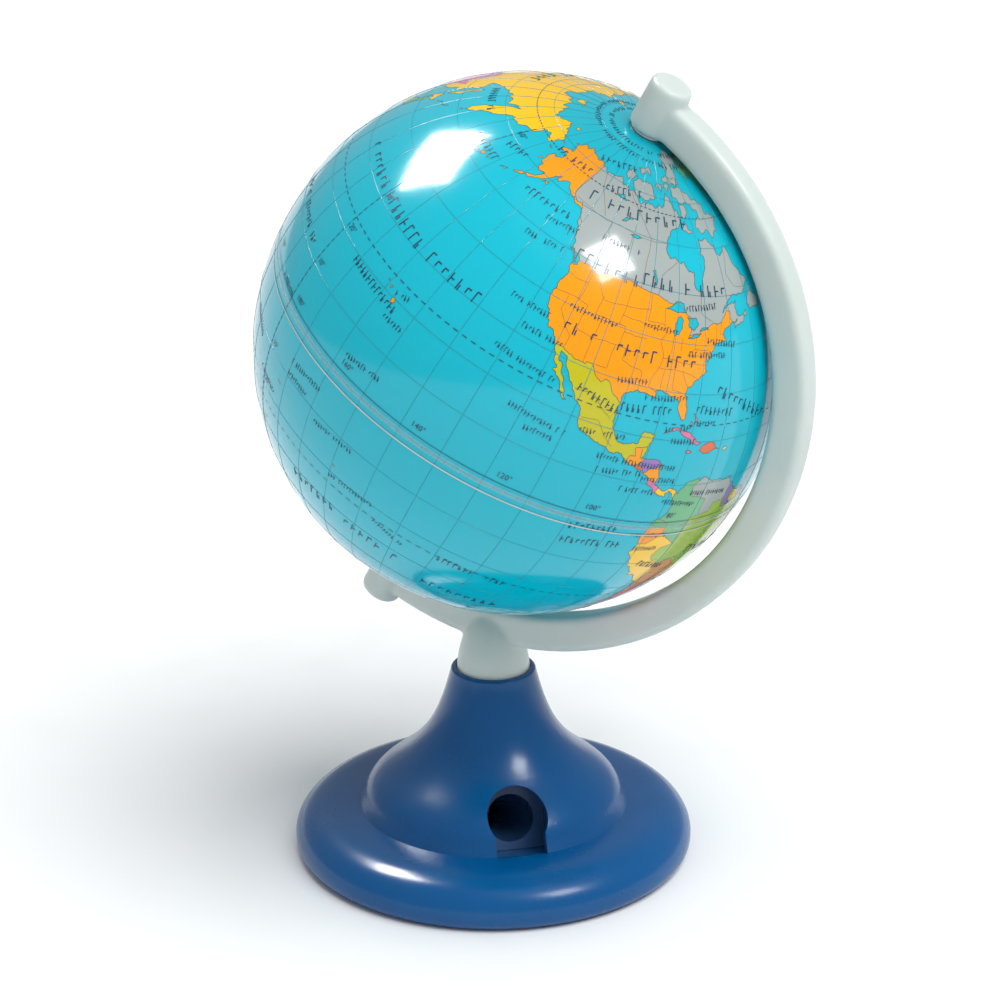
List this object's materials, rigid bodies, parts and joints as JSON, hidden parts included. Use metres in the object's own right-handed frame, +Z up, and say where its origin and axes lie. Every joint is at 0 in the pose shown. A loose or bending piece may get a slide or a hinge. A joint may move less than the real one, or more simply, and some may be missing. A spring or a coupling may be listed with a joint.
{
  "type": "desktop globe on stand",
  "caption": "Small printed globe that spins in a one-sided arm on a round trumpet base with a pencil sharpener in its foot.",
  "frame": {"origin": "middle of the base's underside, on the surface that it stands on", "axes": "+Z up; the pencil sharpener's window faces -Y; the arm and the globe's north pole lean towards +X and -Y"},
  "size_m": [0.0856, 0.0856, 0.1363],
  "materials": {
    "base_blue": "satin moulded plastic",
    "arm_milky": "milky translucent plastic, soft sheen",
    "globe_print": "printed map under clear gloss",
    "seam_tape": "printed closing tape",
    "sleeve_white": "plain moulded plastic",
    "bush_white": "plain moulded plastic",
    "pin_steel": "bright drawn steel",
    "screw_steel": "zinc-plated steel",
    "sharpener_blue": "moulded plastic",
    "blade_steel": "ground tool steel"
  },
  "bodies": {
    "base": {"base_shell": "base_blue", "sharpener_body": "sharpener_blue", "sharpener_blade": "blade_steel", "blade_screw": "screw_steel"},
    "cover": {"bottom_cover": "base_blue"},
    "arm": {"meridian_arm": "arm_milky", "stem_screw": "screw_steel", "stem_washer": "screw_steel", "pole_pin_north": "pin_steel", "pole_pin_south": "pin_steel"},
    "globe": {"globe_north_half": "globe_print", "globe_south_half": "globe_print", "equator_sleeve": "sleeve_white", "equator_tape": "seam_tape", "pole_bush_north": "bush_white", "pole_bush_south": "bush_white"}
  },
  "joints": [
    {"name": "globe_spin", "type": "hinge", "parent": "arm", "child": "globe", "pos_m": [0.00408, -0.0035, 0.0894], "axis": [0.3739, -0.3205, 0.8704], "continuous": true},
    {"name": "arm_swivel", "type": "hinge", "parent": "base", "child": "arm", "pos_m": [0, 0, 0.0265], "axis": [0, 0, 1], "continuous": true},
    {"name": "cover_pull", "type": "slide", "parent": "base", "child": "cover", "axis": [0, 0, -1], "range_m": [0, 0.02]}
  ]
}
